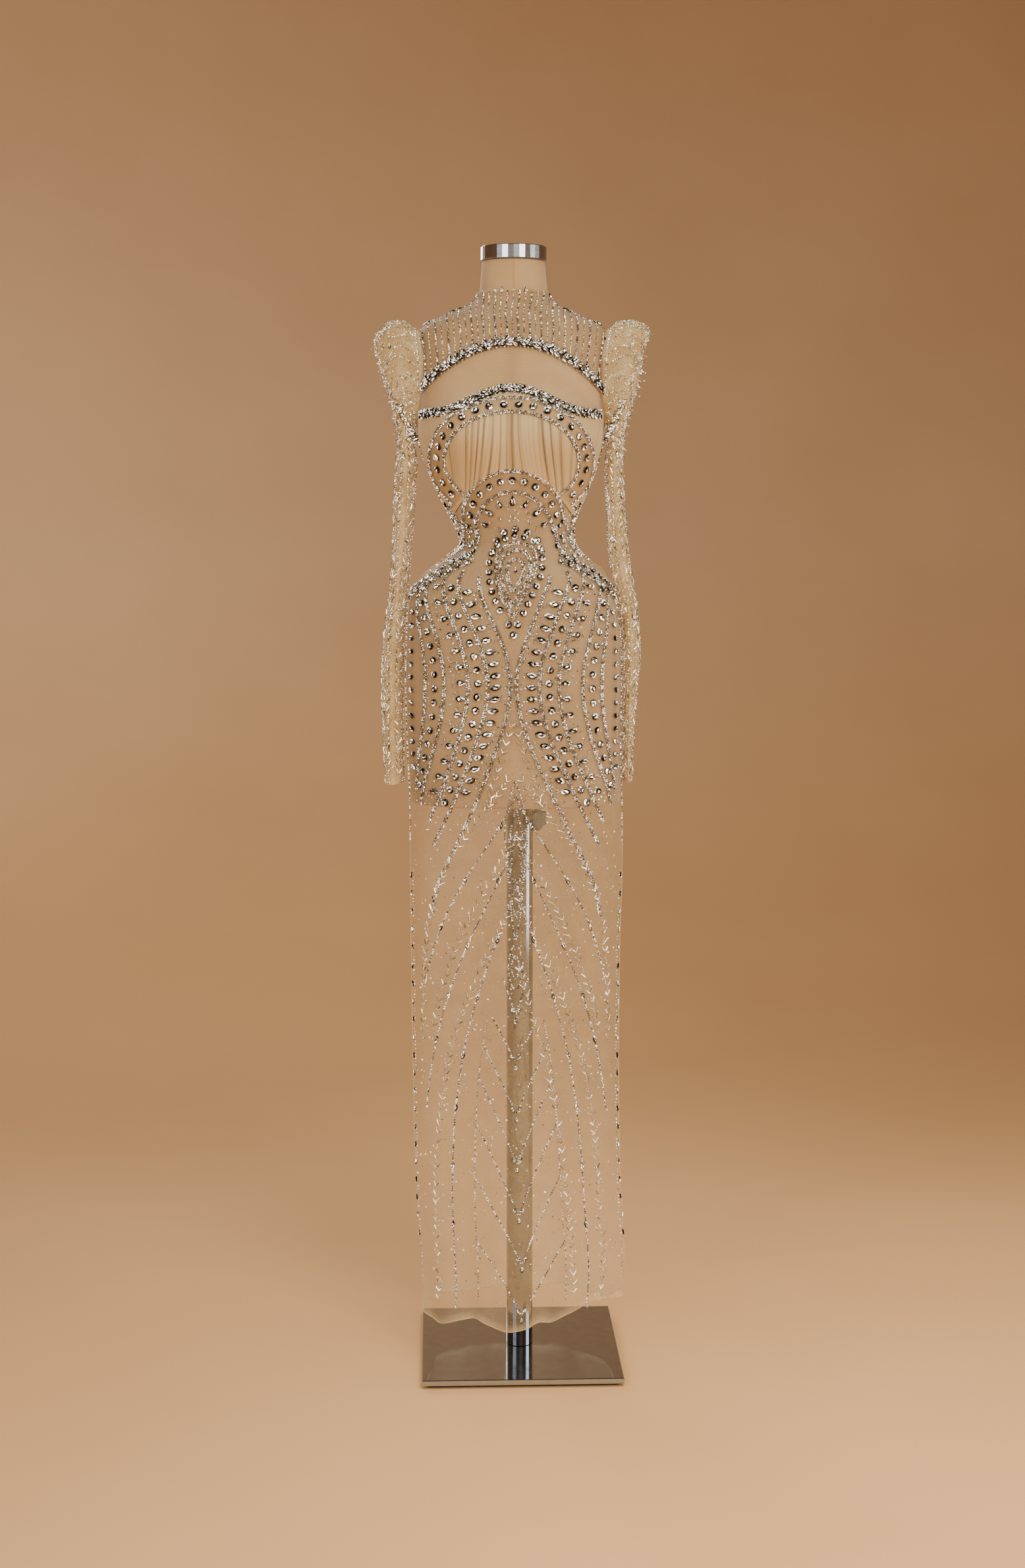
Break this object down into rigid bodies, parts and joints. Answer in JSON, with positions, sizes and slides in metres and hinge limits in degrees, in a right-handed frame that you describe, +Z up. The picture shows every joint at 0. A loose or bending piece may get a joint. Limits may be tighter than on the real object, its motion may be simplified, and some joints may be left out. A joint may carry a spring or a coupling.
{
  "type": "column evening gown on a limbless dress form with a pole stand",
  "caption": "Long-sleeved sheer column gown with crystal bands and a chest cut-out, worn by a limbless dress form on a pole and a square plate.",
  "frame": {"origin": "middle of the base pad's underside, on the pole's axis", "axes": "+Z up along the pole, the gown's front faces -Y, and +X is on the right as seen from the front"},
  "size_m": [0.4005, 0.3106, 1.6708],
  "materials": {
    "tulle": "sheer beaded tulle",
    "chiffon": "soft gathered chiffon",
    "crystal": "foil-backed crystal",
    "jersey": "tight jersey over a hard form",
    "chrome": "polished",
    "brushed_steel": "brushed",
    "black_plastic": "moulded",
    "rubber": "matt",
    "zip_tape": "woven tape with a nylon coil"
  },
  "bodies": {
    "stand": {"base_pad": "rubber", "base_plate": "chrome", "pole": "chrome", "clamp_boss": "brushed_steel"},
    "knob": {"star_knob": "black_plastic"},
    "mast": {"mast": "brushed_steel"},
    "figure": {"form_torso": "jersey", "neck_cap": "brushed_steel", "front_panel": "tulle", "teardrop_medallion": "crystal", "bust_panel": "chiffon", "bust_frame": "crystal", "front_yoke": "tulle", "cut_trim_upper": "crystal", "cut_trim_lower": "crystal", "back_left": "tulle", "back_right": "tulle", "zip_tape": "zip_tape", "zip_slider": "brushed_steel", "sleeve_left": "tulle", "sleeve_right": "tulle"},
    "pull_tab": {"pull_tab": "brushed_steel"}
  },
  "joints": [
    {"name": "knob_turn", "type": "hinge", "parent": "stand", "child": "knob", "pos_m": [0, 0, 0.834], "axis": [0.7071, -0.7071, 0], "range_deg": [0, 360]},
    {"name": "height_slide", "type": "slide", "parent": "stand", "child": "mast", "axis": [0, 0, 1], "range_m": [0, 0.25]},
    {"name": "figure_turn", "type": "hinge", "parent": "mast", "child": "figure", "pos_m": [0, 0, 0.9], "axis": [0, 0, 1], "continuous": true},
    {"name": "tab_swing", "type": "hinge", "parent": "figure", "child": "pull_tab", "pos_m": [-0.0094, 0.06504, 1.59751], "axis": [1, 0, 0], "range_deg": [0, 150]}
  ]
}
